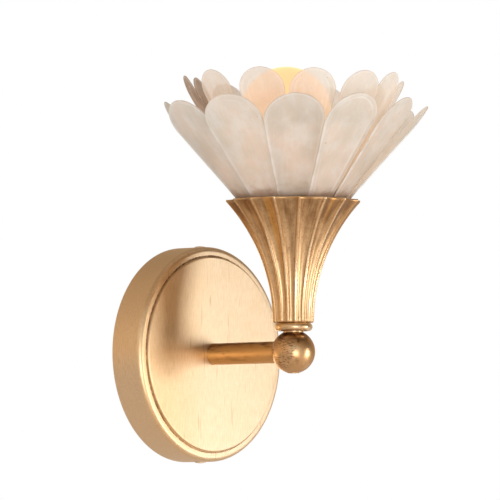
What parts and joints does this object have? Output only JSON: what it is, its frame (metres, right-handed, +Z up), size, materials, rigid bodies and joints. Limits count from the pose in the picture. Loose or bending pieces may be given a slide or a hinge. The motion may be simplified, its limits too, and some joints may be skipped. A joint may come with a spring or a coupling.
{
  "type": "wall sconce",
  "caption": "Single-light wall sconce: round brushed-gold canopy, short arm with a ball, fluted trumpet cup and a two-tier flower of translucent shell petals round a globe lamp.",
  "frame": {"origin": "centre of the mounting bracket's back face on the wall, at the arm's axis", "axes": "+Y into the wall, -Y out into the room along the arm, +Z up, +X to the right of someone facing the wall"},
  "size_m": [0.1531, 0.1603, 0.2308],
  "materials": {
    "brushed_gold": "gold leaf brushed up and down, satin",
    "arm_gold": "antique gold leaf, satin",
    "antique_gold": "antique gold leaf rubbed bright on the ridges, brown in the hollows",
    "spun_gold": "gold lacquer",
    "shell": "polished window shell, translucent, with faint growth lines",
    "brass": "plain brass",
    "zinc_steel": "zinc plated",
    "green_steel": "green passivated",
    "phenolic": "moulded phenolic",
    "globe_glass": "frosted, lit warm",
    "stem_glass": "clear",
    "cap_glass": "black vitrite",
    "solder": "solder",
    "tungsten": "glowing wire",
    "black_insulation": "matte",
    "white_insulation": "matte",
    "connector_plastic": "matte"
  },
  "bodies": {
    "fixture": {"arm_lock_washer": "zinc_steel", "arm_nipple": "brass", "arm_nut": "zinc_steel", "arm_tube": "arm_gold", "ball": "antique_gold", "ball_nipple": "brass", "canopy": "brushed_gold", "canopy_screws": "brushed_gold", "carrier_nut": "zinc_steel", "centre_contact": "brass", "cup_nut": "zinc_steel", "cup_washer": "zinc_steel", "fluted_cup": "antique_gold", "ground_screw": "green_steel", "inner_petal_01": "shell", "inner_petal_02": "shell", "inner_petal_03": "shell", "inner_petal_04": "shell", "inner_petal_05": "shell", "inner_petal_06": "shell", "inner_petal_07": "shell", "inner_petal_08": "shell", "inner_petal_09": "shell", "inner_petal_10": "shell", "inner_petal_11": "shell", "inner_petal_12": "shell", "inner_petal_cone": "spun_gold", "inner_rivets": "brass", "lampholder_body": "phenolic", "lead_line": "black_insulation", "lead_neutral": "white_insulation", "mounting_bracket": "zinc_steel", "neck_washer": "antique_gold", "outer_petal_01": "shell", "outer_petal_02": "shell", "outer_petal_03": "shell", "outer_petal_04": "shell", "outer_petal_05": "shell", "outer_petal_06": "shell", "outer_petal_07": "shell", "outer_petal_08": "shell", "outer_petal_09": "shell", "outer_petal_10": "shell", "outer_petal_11": "shell", "outer_petal_12": "shell", "outer_petal_cone": "spun_gold", "outer_rivets": "brass", "ring_washer": "antique_gold", "screw_shell": "brass", "socket_bracket": "zinc_steel", "socket_nut": "zinc_steel", "stem_pipe": "brass", "wire_connectors": "connector_plastic"},
    "bulb": {"bulb_glass": "globe_glass", "bulb_cap": "brass", "bulb_insulator": "cap_glass", "bulb_contact": "solder", "bulb_stem": "stem_glass", "filament": "tungsten"}
  },
  "joints": [
    {"name": "bulb_lift", "type": "slide", "parent": "fixture", "child": "bulb", "axis": [-0.0378, 0.0434, 0.9983], "range_m": [0, 0.085]}
  ]
}
